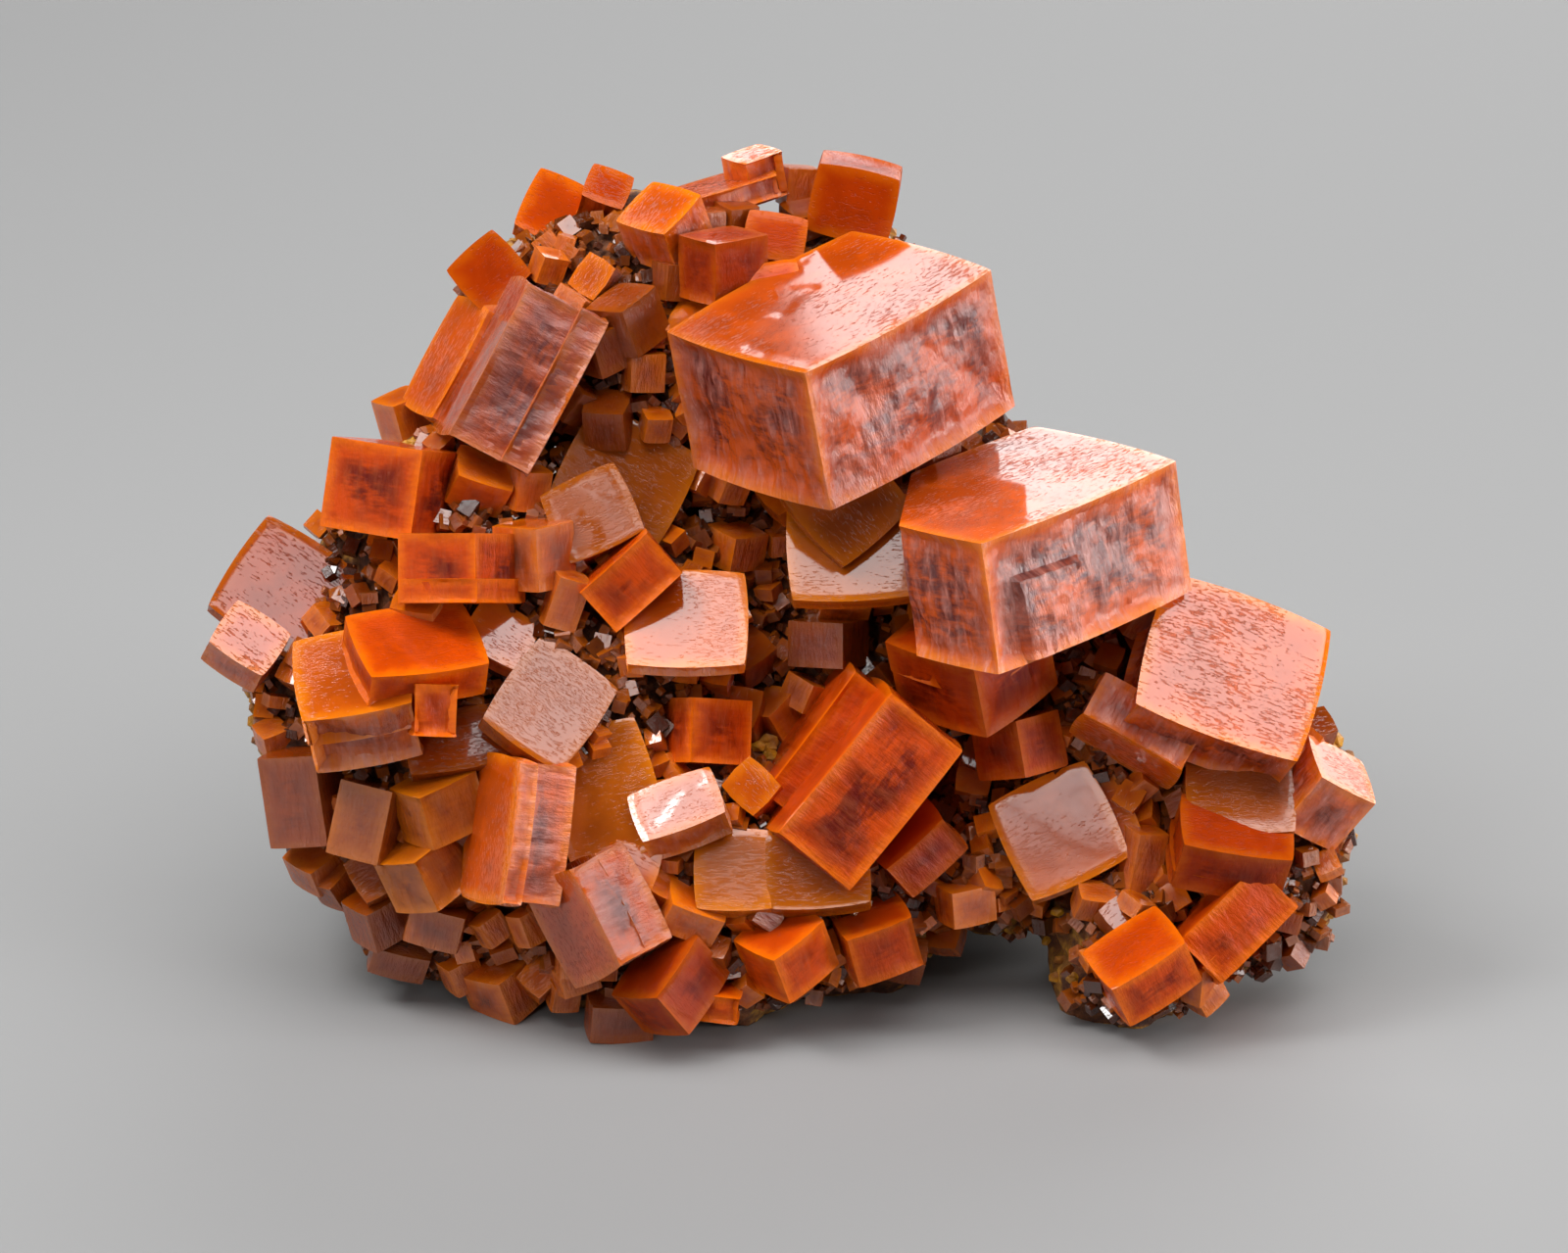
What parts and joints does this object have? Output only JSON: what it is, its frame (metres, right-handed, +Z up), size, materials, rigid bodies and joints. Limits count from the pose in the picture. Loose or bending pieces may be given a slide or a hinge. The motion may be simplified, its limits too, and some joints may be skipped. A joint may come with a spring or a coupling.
{
  "type": "wulfenite crystals on matrix",
  "caption": "Mineral specimen: thick square orange wulfenite crystals crowded over a rounded piece of rock that stands on a flat underside.",
  "frame": {"origin": "middle of the footprint, on the plane that the specimen rests on", "axes": "+X to the right of the show face and along the longest side, +Z up, -Y towards the viewer of the show face"},
  "size_m": [0.1004, 0.0588, 0.0647],
  "materials": {
    "rock": "rough ochre crust with brown druse",
    "rose": "glossy, frosted sides with a rose sheen, translucent edges",
    "orange": "glossy, translucent orange",
    "caramel": "glossy, smooth caramel brown"
  },
  "bodies": {
    "root": {"great_block_crystal": "rose", "second_block_crystal": "rose", "slanting_plate_crystal": "rose", "barrel_crystals": "rose", "grey_plate_crystal": "rose", "left_block_crystal": "rose", "far_left_plate_crystals": "rose", "tall_edge_crystal": "rose", "white_faced_crystal": "rose", "leaning_block_crystal": "rose", "slab_below_plate": "rose", "round_plate_crystals": "rose", "right_end_crystal": "rose", "top_slab_crystals": "rose", "lower_block_crystals": "orange", "stepped_twin_crystal": "orange", "upright_top_crystal": "orange", "crest_crystals": "orange", "shoulder_crystal": "orange", "brick_crystal": "orange", "ridged_brick_crystal": "orange", "leaning_brick_crystal": "orange", "left_plate_crystals": "orange", "centre_brick_crystal": "orange", "edge_block_crystals": "orange", "wedge_crystal": "orange", "square_rim_crystal": "orange", "inner_rim_crystal": "orange", "foot_barrel_crystals": "orange", "foot_block_crystal": "orange", "top_front_crystals": "orange", "crossed_plate_crystals": "caramel", "hanging_plate_crystals": "caramel", "brown_plate_crystal": "caramel", "saddle_plate_crystal": "caramel", "lower_plate_crystals": "caramel", "lower_left_crystals": "caramel", "hidden_plate_crystal": "caramel", "matrix": "rock"}
  },
  "joints": []
}
